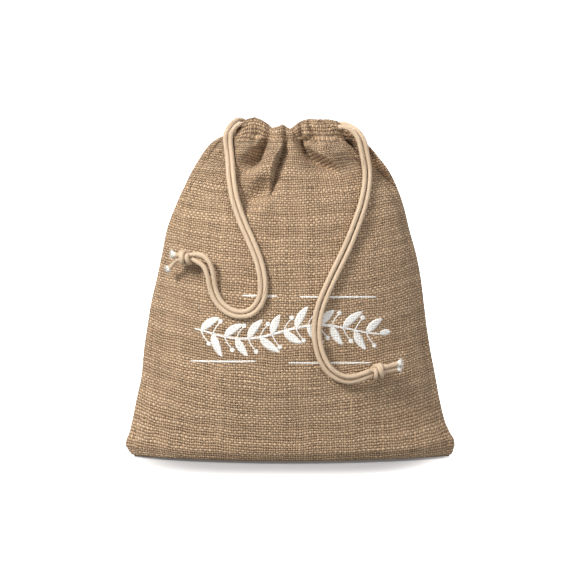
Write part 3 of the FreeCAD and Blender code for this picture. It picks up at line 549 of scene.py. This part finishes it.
def cloth_grid(side):
    """Grid of points for one panel: bottom seam, base, wall, then the folded channel. side -1 is the front."""
    folds = FRONT_FOLDS if side < 0 else BACK_FOLDS
    th = np.linspace(-1, 1, CELL_U + 1)
    # even spacing along the lens, a little closer at the seams
    u = np.sin(th * math.pi / 2 * 0.94) / math.sin(math.pi / 2 * 0.94)
    rows, tags = [], []
    zb, wl, wr = 0.6, float(pchip(SIL_Z, SIL_L, 0.6)), float(pchip(SIL_Z, SIL_R, 0.6))
    for k in range(BASE_ROWS):
        q = k / BASE_ROWS
        x = np.where(u < 0, u * wl, u * wr)
        y = 31.2 * q * (1 - u * u) ** 0.8
        rows.append(np.stack([x, y, np.full_like(x, zb) + 1.6 * q ** 3], 1))
        tags.append((0, q))
    for z in BODY_Z:
        wl, wr = float(pchip(SIL_Z, SIL_L, z)), float(pchip(SIL_Z, SIL_R, z))
        d = float(pchip(DEP_Z, DEP_D, z))
        if side < 0 and z > 200:      # the slit: the front edge is drawn in, and leaves the back panel showing
            wr -= float(np.interp(z, (200, 206, 213.7, 222, 230, 238.5, 242), (0, 1.5, 6.0, 9.5, 12.2, 13.8, 13.0)))
            wl -= 1.0 * float(smooth01((z - 212) / 24)) * (1 - float(smooth01((z - 236) / 8)))
        p = 0.8 - 0.36 * float(smooth01((z - 222) / 22))
        x = np.where(u < 0, u * wl, u * wr)
        y = d * np.maximum(1 - u * u, 0) ** p
        rise = float(smooth01((z - 206) / 22))
        gap = np.where(u > 0, 3.6, 2.0) if side < 0 else np.where(u > 0, -9.5, 0.0)
        reach = 0.50 if side < 0 else 0.45
        y = y + gap * rise * smooth01((np.abs(u) - 1 + reach) / reach)
        rows.append(np.stack([x, y, np.full_like(x, z)], 1))
        tags.append((1, z))
    # channel: up the outside, over the top, and down the inside to the stitch line
    prof = np.array([(14.6, 242.0), (15.2, 245.0), (15.6, 249.0), (14.8, 253.0), (12.4, 256.2), (9.4, 257.0), (6.6, 256.0),
                     (4.6, 253.0), (4.1, 249.0), (4.6, 245.5), (7.0, 243.0), (10.5, 241.2)])
    seg = np.concatenate([[0], np.cumsum(np.linalg.norm(np.diff(prof, axis=0), axis=1))])
    seg /= seg[-1]
    for k in range(1, HEM_N + 1):
        s = k / HEM_N
        yy, zz = np.interp(s, seg, prof[:, 0]), np.interp(s, seg, prof[:, 1])
        up = float(smooth01(s / 0.30))
        outw = 1 - float(smooth01((s - 0.36) / 0.18))
        wl = 54.0 + (35.5 - 54.0) * up if side < 0 else 54.0 + (41.0 - 54.0) * up
        wr = 39.5 + (39.0 - 39.5) * up if side < 0 else 54.0 + (43.0 - 54.0) * up
        if side > 0:
            wr = 54.0 + (44.6 - 54.0) * float(smooth01(s / 0.36))
        if side < 0:
            wl = wl + (39.5 - 35.5) * (1 - outw)
            wr = wr + (41.0 - 39.0) * (1 - outw)
        x = np.where(u < 0, u * wl, u * wr)
        p = 0.44 - 0.26 * float(smooth01(s / 0.50))
        y = (yy - 3.0) * np.maximum(1 - (0.97 * u) ** 2, 0) ** p + 3.0
        if side > 0:
            y = y + np.where(u > 0, -9.5, 0.0) * smooth01((np.abs(u) - 0.55) / 0.45) * (1 - float(smooth01(s / 0.42)))
        rows.append(np.stack([x, y, np.full_like(x, zz)], 1))
        tags.append((2, s))
    P = np.array(rows)
    kind = np.array([t[0] for t in tags])
    par = np.array([t[1] for t in tags])
    X, Z = P[:, :, 0].copy(), P[:, :, 2].copy()
    # hem top follows an uneven line
    top_x, top_z = (TOP_X, TOP_Z) if side < 0 else (BTOP_X, BTOP_Z)
    lift = np.interp(X, top_x, top_z) - 257.0
    k = np.where(kind == 2, np.sin(np.clip(par, 0, 1) * math.pi) ** 0.8, 0.0)[:, None]
    P[:, :, 2] += lift * k * (P[:, :, 2] > 242.0)
    # folds: the inner leaf of the channel goes in and out with the outer one
    zf = np.where((kind == 2)[:, None], np.where((par > 0.45)[:, None], 252.0, Z), Z)
    h = fold_field(folds, X, zf)
    inner = np.where(kind == 2, 1 - 0.75 * smooth01((par - 0.40) / 0.25), 1.0)[:, None]
    h = h * inner
    b1, b2, b3 = (bumpy1, bumpy2, bumpy3) if side < 0 else (bumpy4, bumpy5, bumpy6)
    z_ok = np.where(kind == 0, 0.0, smooth01((Z[:, 0] - 4) / 26))[:, None]
    rough = 1.5 * b1(X, Z) + (0.42 + 0.5 * smooth01((Z - 185) / 40)) * b2(X, Z) + (0.10 + 0.22 * smooth01((Z - 200) / 30)) * b3(X, Z)
    h = h + rough * z_ok
    # seams: cloth pulls in a little just inside each side seam
    edge = np.where(u < 0, -u, u)[None, :]
    wall = (kind == 1)[:, None]
    P0 = P.copy()
    # displacement along the surface normal
    du = np.gradient(P, axis=1)
    dv = np.gradient(P, axis=0)
    n = np.cross(du, dv)
    n /= np.linalg.norm(n, axis=2)[:, :, None] + 1e-9
    n = np.where((n[:, :, 1] < 0)[:, :, None], -n, n)      # towards +y in this half space: outward
    n = np.where((kind != 1)[:, None, None], np.array([0.0, 1.0, 0.0]), n)
    blend = smooth01((P[:, :, 2] - 226) / 14)[:, :, None]
    n = n * (1 - blend) + np.array([0.0, 1.0, 0.0]) * blend
    n /= np.linalg.norm(n, axis=2)[:, :, None]
    fade = smooth01((1.0 - edge) / 0.10)
    h = h * np.where(wall, fade, 1.0)
    half = np.abs(X).max(axis=1)[:, None]
    h = h + np.where(wall, 1.0 * np.exp(-(((1 - edge) * half - 5.5) / 1.5) ** 2), 0.0)
    h = h + np.where(wall, 0.30 * np.exp(-((Z - 6.0) / 1.8) ** 2) - 0.35 * np.exp(-((Z - 10.0) / 2.4) ** 2), 0.0)
    P = P - n * h[:, :, None]
    # keep clear of the middle plane
    lim = np.where(wall, 0.0, -99.0)
    P[:, :, 1] = np.maximum(P[:, :, 1], np.where(wall, np.minimum(P0[:, :, 1], 1.2), -99.0))
    if side < 0:
        P[:, :, 1] *= -1
    return P, kind, par, u


def press_cords(P, kind, clear=2.75):
    """Push the cloth back where it would come through a cord that lies on it."""
    pts = np.concatenate([ROUTE[k] for k in ("left_front", "left_back", "right_front", "right_back")])
    pts = pts[pts[:, 2] < 243.5]
    kd = KDTree(len(pts))
    for i, q in enumerate(pts):
        kd.insert((q[0], 0.0, q[2]), i)
    kd.balance()
    for r in range(P.shape[0]):
        if kind[r] == 0 or P[r, 0, 2] > 243:
            continue
        for c in range(P.shape[1]):
            x, y, z = P[r, c]
            for _, i, d in kd.find_n((x, 0.0, z), 2):
                if d > 7:
                    continue
                yc = pts[i][1]
                if d < clear:
                    lim = yc + math.sqrt(clear * clear - d * d)
                else:
                    lim = yc - (d - clear) * 0.9
                if y < lim:
                    P[r, c, 1] = y = lim
    return P


def flat_uv(P, kind):
    """Flat-pattern coordinates in mm: v up the panel's middle, u across along each row."""
    mid = P.shape[1] // 2
    col = P[:, mid].copy()
    v = np.concatenate([[0], np.cumsum(np.linalg.norm(np.diff(col, axis=0), axis=1))])
    seg = np.linalg.norm(np.diff(P, axis=1), axis=2)
    s = np.concatenate([np.zeros((P.shape[0], 1)), np.cumsum(seg, axis=1)], axis=1)
    s = s - s[:, mid:mid + 1]
    total = (s[:, -1] - s[:, 0])
    k = (252.0 / total) ** 0.16
    s = s * k[:, None]
    sag = 0.00125 * (0.30 + 0.70 * smooth01(col[:, 2] / 60.0))
    x = P[:, :, 0]
    return np.stack([s, v[:, None] - sag[:, None] * x * x], 2)


def cloth_piece(name, P, uv, side, mats):
    R, C = P.shape[:2]
    idx = np.arange(R * C).reshape(R, C)
    a, b, c, d = idx[:-1, :-1].ravel(), idx[:-1, 1:].ravel(), idx[1:, 1:].ravel(), idx[1:, :-1].ravel()
    faces = np.stack([a, b, c, d], 1) if side < 0 else np.stack([a, d, c, b], 1)
    o = make_mesh(name, P.reshape(-1, 3), faces, mats[0], uv.reshape(-1, 2))
    o.data.materials.append(mats[1])
    m = o.modifiers.new("cloth_thickness", "SOLIDIFY")
    m.thickness = 1.15 * MM
    m.offset = -1.0
    m.use_even_offset = False
    m.material_offset = 1
    m.use_rim = True
    return o


def clear_channel(P, side, kind, par):
    """Channel leaves stay outside the cords that run through them."""
    runs = [ROUTE[k] for k in (("left_front", "right_front", "left_run", "right_run") if side < 0
                               else ("left_back", "right_back", "left_run", "right_run"))]
    pts = np.concatenate(runs)
    pts = pts[(pts[:, 1] * side > 2.0) & (pts[:, 2] > 240) & (np.abs(pts[:, 0]) < 36)]
    for r in range(P.shape[0]):
        hem = kind[r] == 2
        if not hem and P[r, :, 2].max() < 238:
            continue
        for c in range(P.shape[1]):
            x, y, z = P[r, c]
            if abs(x) > 37:
                continue
            d2 = np.hypot(pts[:, 0] - x, pts[:, 2] - z)
            q = pts[d2 < 2.5]
            if len(q) == 0:
                continue
            reach = np.sqrt(2.5 ** 2 - d2[d2 < 2.5] ** 2)
            if not hem or par[r] < 0.42:
                P[r, c, 1] = side * max(y * side, float((q[:, 1] * side + reach).max()))
            elif par[r] > 0.60:
                P[r, c, 1] = side * min(y * side, float((q[:, 1] * side - reach).min()))
    return P


FP, FKIND, FPAR, FU = cloth_grid(-1)
BP, BKIND, BPAR, BU = cloth_grid(1)
FP = press_cords(FP, FKIND)
FP = clear_channel(FP, -1, FKIND, FPAR)
BP = clear_channel(BP, 1, BKIND, BPAR)
FUV, BUV = flat_uv(FP, FKIND), flat_uv(BP, BKIND)
front = cloth_piece("front_cloth", FP, FUV, -1, (JUTE, JUTE_INSIDE_LIT))
back = cloth_piece("back_cloth", BP, BUV, 1, (JUTE, JUTE_INSIDE_LIT))
for o, side in ((front, "front"), (back, "back")):
    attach(o, "root")
    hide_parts(side + "_panel", side + "_channel_hem")

# =============================================================== knots and frayed ends
def unit(v):
    v = np.asarray(v, float)
    return v / np.linalg.norm(v)


def knot_piece(side, spec):
    c, a, d = (np.array(q, float) for q in spec)
    a = unit(a)
    d = unit(d - a * (a @ d))
    n = np.cross(a, d)
    if n[1] > 0:
        n = -n                                      # towards the viewer's side of the pouch
    parts = []
    for sgn, wob in ((1, 0.4), (-1, -0.3)):         # the two strands through the middle
        t = np.linspace(-1, 1, 25)
        off = 1.95 - 0.55 * np.exp(-(t / 0.55) ** 2)
        line = c + np.outer(t * 7.2, a) + np.outer(sgn * off, d) + np.outer(wob * np.cos(t * 2.2), n)
        parts.append(tube_arrays(line, 1.72, sides=14, twist=0.1, lobes=6, depth=0.025))
    rng = np.random.default_rng(11 if side == "left" else 12)
    for k, (start, turns, lo, hi, ra, rb, rr) in enumerate(((0.3, 1.62, -4.4, 2.0, 4.15, 3.75, 1.70), (2.9, 1.45, -1.2, 4.6, 4.25, 3.65, 1.66))):
        t = np.linspace(0, 1, 76)
        ang = start + turns * 2 * math.pi * t
        tuck = 1 - 0.42 * (np.exp(-(t / 0.09) ** 2) + np.exp(-((1 - t) / 0.09) ** 2))
        along = lo + (hi - lo) * t + 1.25 * np.sin(ang + 0.5 + k) + 0.35 * np.sin(2.3 * ang)
        line = (c + np.outer(along, a) + (ra * tuck * np.cos(ang))[:, None] * d[None, :] + (rb * tuck * np.sin(ang))[:, None] * n[None, :])
        parts.append(tube_arrays(line, rr, sides=16, twist=0.1, lobes=6, depth=0.025))
    v, f, u = join_arrays(parts)
    o = make_mesh(side + "_overhand_knot", v, f, CORD, u)
    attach(o, side + "_tail")
    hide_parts(side + "_knot")
    return o, (c, a, d, n)


def tail_piece(side, fr, ends):
    """Two cut ends beyond the knot, each opened into a tuft of fibres."""
    c, a, d, n = fr
    rng = np.random.default_rng(21 if side == "left" else 22)
    V, F, U, M = [], [], [], []

    def add(arr, mat):
        v, f, u = arr
        k = len(V)
        V.extend(tuple(q) for q in v)
        F.extend(tuple(i + k for i in q) for q in f)
        U.extend(tuple(q) for q in u)
        M.extend([mat] * len(f))

    for length, off0, off1, lift0, lift1 in ends:
        t = np.linspace(0, 1, 26)
        s0 = 5.4
        line = c + np.outer(s0 + length * t, a) + np.outer(off0 + (off1 - off0) * smooth01(t), d) + np.outer(lift0 + (lift1 - lift0) * t, n)
        rad = 1.70 + 0.75 * smooth01((t * length - (length - 3.2)) / 3.2)
        cut = max(4, int(np.searchsorted(t * length, length - 2.6)))
        add(tube_arrays(line[:cut + 1], rad[:cut + 1], sides=16, twist=0.1, lobes=6, depth=0.03), 0)
        add(tube_arrays(line[cut:], rad[cut:] * (1 + 0.05 * rng.standard_normal(len(rad) - cut)), sides=16, twist=0.1, lobes=7, depth=0.10), 1)
        tip, ax = line[-1], unit(line[-1] - line[-4])
        e1 = unit(np.cross(ax, (0.2, 0.3, 1.0)))
        e2 = np.cross(ax, e1)
        for _ in range(70):
            r0, th = 2.2 * math.sqrt(rng.uniform()), rng.uniform(0, 2 * math.pi)
            rad_dir = math.cos(th) * e1 + math.sin(th) * e2
            base = tip + rad_dir * r0 - ax * rng.uniform(0.4, 1.6)
            ln = rng.uniform(1.4, 3.6)
            end = base + ax * ln * rng.uniform(0.55, 1.0) + rad_dir * (r0 * 0.35 + rng.uniform(0.0, 1.1)) + 0.35 * rng.standard_normal(3)
            midp = (base + end) / 2 + 0.28 * rng.standard_normal(3)
            q = np.linspace(0, 1, 6)[:, None]
            fib = (1 - q) ** 2 * base + 2 * q * (1 - q) * midp + q * q * end
            add(tube_arrays(fib, np.linspace(0.20, 0.07, 6), sides=5), 1)
    o = make_mesh(side + "_tail_ends", V, F, CORD, U)
    o.data.materials.append(TIP)
    o.data.polygons.foreach_set("material_index", M)
    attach(o, side + "_tail")
    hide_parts(side + "_cord_tips")
    return o


KNOTS, TAILS = {}, {}
KNOTS["left"], fr = knot_piece("left", LEFT_KNOT)
TAILS["left"] = tail_piece("left", fr, ((4.2, 2.0, 3.0, 0.2, 0.4), (10.0, -1.8, -9.0, 0.3, -1.8)))
KNOTS["right"], fr = knot_piece("right", RIGHT_KNOT)
TAILS["right"] = tail_piece("right", fr, ((12.6, 1.75, 1.9, 0.3, 0.6), (11.2, -1.75, -2.4, 0.2, 0.2)))

# =============================================================== cords
# each strand is one tube, baked in place; its bend, between the part that would slide in the channel and the part that
# would swing, lies just outside the channel
for side in ("left", "right"):
    for part in ("front", "back"):
        key = side + "_" + part
        p = ROUTE[key]
        o = tube_piece(key + "_cord", p, CORD_R, CORD, sides=20, twist=0.10, lobes=6, depth=0.025)
        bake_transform(o)
        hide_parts(side + "_feed_" + part, key + "_strand")
        sx = -1 if side == "left" else 1
    o = tube_piece(side + "_cord_run", ROUTE[side + "_run"], CORD_R, CORD, sides=16, twist=0.10, lobes=6, depth=0.025)
    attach(o, "root")
    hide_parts(side + "_cord_loop")

# =============================================================== what lies on the cloth
from mathutils.bvhtree import BVHTree
from mathutils.interpolate import poly_3d_calc


class Skin:
    """Finds the cloth's outer face, its normal and its flat coordinates at (x, z)."""
    def __init__(self, P, UV, side):
        R, C = P.shape[:2]
        self.v = [Vector(q) for q in P.reshape(-1, 3).tolist()]
        self.uv = UV.reshape(-1, 2)
        idx = np.arange(R * C).reshape(R, C)
        a, b, c, d = idx[:-1, :-1].ravel(), idx[:-1, 1:].ravel(), idx[1:, 1:].ravel(), idx[1:, :-1].ravel()
        self.f = np.stack([a, b, c, d], 1).tolist()
        self.bvh = BVHTree.FromPolygons(self.v, self.f)
        self.side = side

    def at(self, x, z):
        loc, nor, i, _ = self.bvh.ray_cast(Vector((x, 90.0 * self.side, z)), Vector((0, -self.side, 0)))
        if loc is None:
            loc, nor, i, _ = self.bvh.find_nearest(Vector((x, 20.0 * self.side, z)))
        if nor.y * self.side < 0:
            nor = -nor
        w = poly_3d_calc([self.v[k] for k in self.f[i]], loc)
        uv = sum(self.uv[k] * wk for k, wk in zip(self.f[i], w))
        return np.array(loc), np.array(nor), uv


FSKIN, BSKIN = Skin(FP, FUV, -1), Skin(BP, BUV, 1)


def printed(shapes, name, proud=0.10):
    """shapes: lists of rows of (x, z) points; each row has the same number of points. Laid on the cloth as a thin film."""
    V, F, U = [], [], []
    for rows in shapes:
        k, m = len(V), len(rows[0])
        for row in rows:
            for x, z in row:
                p, n, uv = FSKIN.at(x, z)
                V.append(tuple(p + n * proud))
                U.append(tuple(uv))
        for r in range(len(rows) - 1):
            for c in range(m - 1):
                F.append((k + r * m + c, k + r * m + c + 1, k + (r + 1) * m + c + 1, k + (r + 1) * m + c))
    o = make_mesh(name, V, F, INK, U)
    me = o.data
    flip = [p.index for p in me.polygons if p.normal.y > 0]
    if flip:
        import bmesh
        bm = bmesh.new()
        bm.from_mesh(me)
        bm.faces.ensure_lookup_table()
        bmesh.ops.reverse_faces(bm, faces=[bm.faces[q] for q in flip])
        bm.to_mesh(me)
        bm.free()
    so = o.modifiers.new("film", "SOLIDIFY")
    so.thickness = 0.35 * MM
    so.offset = -1.0
    return o


def ribbon(line, width, n=None):
    """Rows of points for a band round a polyline. width is a function of 0..1."""
    line = np.asarray(line, float)
    s = np.concatenate([[0], np.cumsum(np.hypot(*np.diff(line, axis=0).T))])
    n = n or max(4, int(s[-1] / 1.1))
    q = np.linspace(0, s[-1], n)
    x, z = np.interp(q, s, line[:, 0]), np.interp(q, s, line[:, 1])
    tx, tz = np.gradient(x), np.gradient(z)
    ln = np.hypot(tx, tz) + 1e-9
    nx, nz = -tz / ln, tx / ln
    rows = []
    for k in range(n):
        w = width(q[k] / s[-1]) / 2
        rows.append([(x[k] + nx[k] * w * a, z[k] + nz[k] * w * a) for a in (-1, -0.5, 0, 0.5, 1)])
    return rows


def bez(p0, p1, p2, n=24):
    t = np.linspace(0, 1, n)[:, None]
    p0, p1, p2 = (np.array(p, float) for p in (p0, p1, p2))
    return (1 - t) ** 2 * p0 + 2 * t * (1 - t) * p1 + t * t * p2


def leaf(x, z, length, wide, ang, curve=0.12):
    a = math.radians(ang)
    e = np.array((math.cos(a), math.sin(a)))
    f = np.array((-e[1], e[0]))
    p0 = np.array((x, z))
    line = bez(p0, p0 + e * length * 0.5 + f * length * curve, p0 + e * length)
    return ribbon(line, lambda t: wide * max(0.0, math.sin(math.pi * t ** 0.85)) ** 0.72 + 0.12, n=max(9, int(length / 0.8)))


def spot(x, z, r):
    n = 13
    rows = []
    for k in range(n):
        q = -1 + 2 * k / (n - 1)
        w = r * math.sqrt(max(0.0, 1 - q * q)) + 0.02
        rows.append([(x + w * a, z + r * q) for a in (-1, -0.5, 0, 0.5, 1)])
    return rows


def stem_z(x):
    return 100.5 + 4.6 * math.sin((x + 6) / 17.0) + 0.02 * x


shapes = []
xs = np.linspace(-70, 68, 120)
shapes.append(ribbon([(x, stem_z(x)) for x in xs], lambda t: 2.0 - 0.8 * abs(2 * t - 1), n=150))
for k, x in enumerate(np.arange(-65, 66, 8.8)):
    z = stem_z(x)
    slope = math.degrees(math.atan(4.6 / 17.0 * math.cos((x + 6) / 17.0)))
    g = 1 if k % 2 == 0 else -1
    shapes.append(leaf(x, z, 17.0 + 1.6 * math.sin(1.7 * k), 5.9, slope + g * (50 + 4 * math.sin(2.3 * k)), 0.11 * g))
    bx, bz = x + 1.2, stem_z(x + 1.2)
    tip = (bx + 4.2, bz - g * 8.4)
    shapes.append(ribbon(bez((bx - 1.2, bz), (bx + 0.6, bz - g * 5.5), tip, 12), lambda t: 0.85))
    shapes.append(spot(tip[0] + 0.4, tip[1] - g * 1.2, 1.75))
shapes.append(leaf(68, stem_z(68), 8.5, 4.6, 8))
for (x0, z0), (x1, z1) in (((-34, 127.2), (-8, 127.0)), ((8.5, 126.6), (65.5, 125.3)), ((-73, 77.2), (-24, 78.6)), ((0.4, 77.6), (61.5, 76.4))):
    shapes.append(ribbon([(x0, z0), (x1, z1)], lambda t: 1.35 - 0.6 * abs(2 * t - 1) ** 6))
garland = printed(shapes, "garland_print")
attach(garland, "root")
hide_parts("front_print")


def stitches(skin, name, x0, x1, z_of, pitch=3.6, length=2.2, r=0.25):
    V, F, U = [], [], []
    parts = []
    x = x0
    rng = np.random.default_rng(31)
    while x + length < x1:
        q = np.linspace(0, 1, 9)
        xx = x + length * q
        line = []
        for xi, qi in zip(xx, q):
            p, n, _ = skin.at(xi, z_of(xi) + 0.1 * math.sin(xi))
            line.append(p + n * (0.30 - 0.75 * (2 * qi - 1) ** 4))
        parts.append(tube_arrays(np.array(line), r * (1 + 0.1 * rng.standard_normal()), sides=8))
        x += pitch * (1 + 0.05 * rng.standard_normal())
    v, f, u = join_arrays(parts)
    o = make_mesh(name, v, f, STITCH, u)
    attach(o, "root")
    return o


st = stitches(FSKIN, "front_channel_stitches", -46, 46, lambda x: 240.8)
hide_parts("front_hem_stitching")
st = stitches(BSKIN, "back_channel_stitches", -50, 50, lambda x: 240.8)
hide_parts("back_hem_stitching")

# =============================================================== carried-over CAD nodes
for n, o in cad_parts.items():
    if "seam" in n or "stitch" in n or "bartack" in n:
        for s in o.material_slots:
            s.material = THREAD
    if n in ("left_knot", "right_knot"):
        for s in o.material_slots:
            s.material = CORD
    if n.endswith("cord_tips"):
        for s in o.material_slots:
            s.material = TIP
    if n == "front_print":
        for s in o.material_slots:
            s.material = INK

# =============================================================== floor, light, camera
def disc(name, rings):
    V, F, n = [(0.0, 0.0, rings[0][1])], [], 96
    for r, z in rings[1:]:
        V += [(r * math.cos(2 * math.pi * k / n), r * math.sin(2 * math.pi * k / n), z) for k in range(n)]
    F += [(0, 1 + k, 1 + (k + 1) % n) for k in range(n)]
    for q in range(len(rings) - 2):
        a, b = 1 + q * n, 1 + (q + 1) * n
        F += [(a + k, b + k, b + (k + 1) % n, a + (k + 1) % n) for k in range(n)]
    me = bpy.data.meshes.new(name)
    me.from_pydata(V, [], F)
    o = bpy.data.objects.new(name, me)
    scene.collection.objects.link(o)
    return o


floor = disc("floor", [(0, 0), (0.3, 0), (0.6, 0), (1.2, 0), (2.4, 0), (4.0, 0)])
# painted contact shadow: near the bag, by elliptical distance from the origin, the floor colour turns grey and its glow
# drops; further out it glows evenly white
ft = Tree("pale_floor_painted_contact_shadow")
fp = ft.sep(ft.obj())
fex, fey = ft.m("MULTIPLY", ft.m("MULTIPLY", fp[0], fp[0]), 1 / 0.0078), ft.m("MULTIPLY", fp[1], 1 / 0.050)
shadow_ellipse_r = ft.m("SQRT", ft.m("ADD", ft.m("MULTIPLY", fex, fex), ft.m("MULTIPLY", fey, fey)))
ft.set(Base_Color=ft.mix(ft.ramp(shadow_ellipse_r, 0.85, 2.05, 0.0, 1.0), (0.40, 0.40, 0.415), (0.87, 0.87, 0.875)), Roughness=0.7)
ft.bsdf.inputs["Specular IOR Level"].default_value = 0.15
ft.bsdf.inputs["Emission Color"].default_value = (1, 1, 1, 1)
ft.link(ft.ramp(shadow_ellipse_r, 1.0, 3.6, 0.10, 1.1), ft.bsdf.inputs["Emission Strength"])
floor.data.materials.append(ft.mat)
floor.visible_diffuse = False

wall = disc("backdrop", [(0, -0.02), (3.9, -0.02), (4.0, 0.1), (4.1, 0.5), (4.15, 1.2), (4.15, 3.2)])
wt = Tree("white_backdrop")
wt.set(Base_Color=(0.9, 0.9, 0.9, 1), Roughness=0.9)
wt.bsdf.inputs["Emission Color"].default_value = (1, 1, 1, 1)
wt.bsdf.inputs["Emission Strength"].default_value = 1.15
wall.data.materials.append(wt.mat)
wall.visible_diffuse = False
wall.visible_shadow = False
wall.visible_glossy = False

world = bpy.data.worlds.new("studio")
world.use_nodes = True
wn = world.node_tree
co = wn.nodes.new("ShaderNodeTexCoord")
sx = wn.nodes.new("ShaderNodeSeparateXYZ")
wn.links.new(co.outputs["Generated"], sx.inputs[0])
mr = wn.nodes.new("ShaderNodeMapRange")
mr.interpolation_type = "SMOOTHSTEP"
wn.links.new(sx.outputs[2], mr.inputs[0])
for k, v in zip((1, 2, 3, 4), (-0.25, 0.6, 0.30, 0.62)):
    mr.inputs[k].default_value = v
wn.links.new(mr.outputs[0], wn.nodes["Background"].inputs[1])
wn.nodes["Background"].inputs[0].default_value = (1, 1, 1, 1)
scene.world = world


def area_light(name, loc, target, size, power, color=(1, 1, 1)):
    d = bpy.data.lights.new(name, "AREA")
    d.size = size
    d.energy = power
    d.color = color
    o = bpy.data.objects.new(name, d)
    o.location = loc
    o.rotation_euler = (Vector(target) - Vector(loc)).to_track_quat("-Z", "Y").to_euler()
    scene.collection.objects.link(o)
    return o


area_light("key", (-1.20, -1.05, 1.32), (0, 0, 0.13), 0.52, 44.6, (1.0, 0.985, 0.948))
area_light("fill", (0.9, -1.7, 0.55), (0, 0, 0.10), 0.9, 9.0)
area_light("back_light", (0.9, 1.7, 1.3), (0, 0, 0.13), 1.0, 36.0)

DIST, ELEV = 1.6, math.radians(5.0)
aim = Vector((0.0011, 0.0, 0.128))
cam_data = bpy.data.cameras.new("camera")
cam_data.sensor_width = 36.0
cam_data.lens = 2112.0 / 580.0 * 36.0
cam = bpy.data.objects.new("camera", cam_data)
cam.location = aim + Vector((0.0, -math.cos(ELEV), math.sin(ELEV))) * DIST
cam.rotation_euler = (aim - cam.location).to_track_quat("-Z", "Y").to_euler()
scene.collection.objects.link(cam)
scene.camera = cam
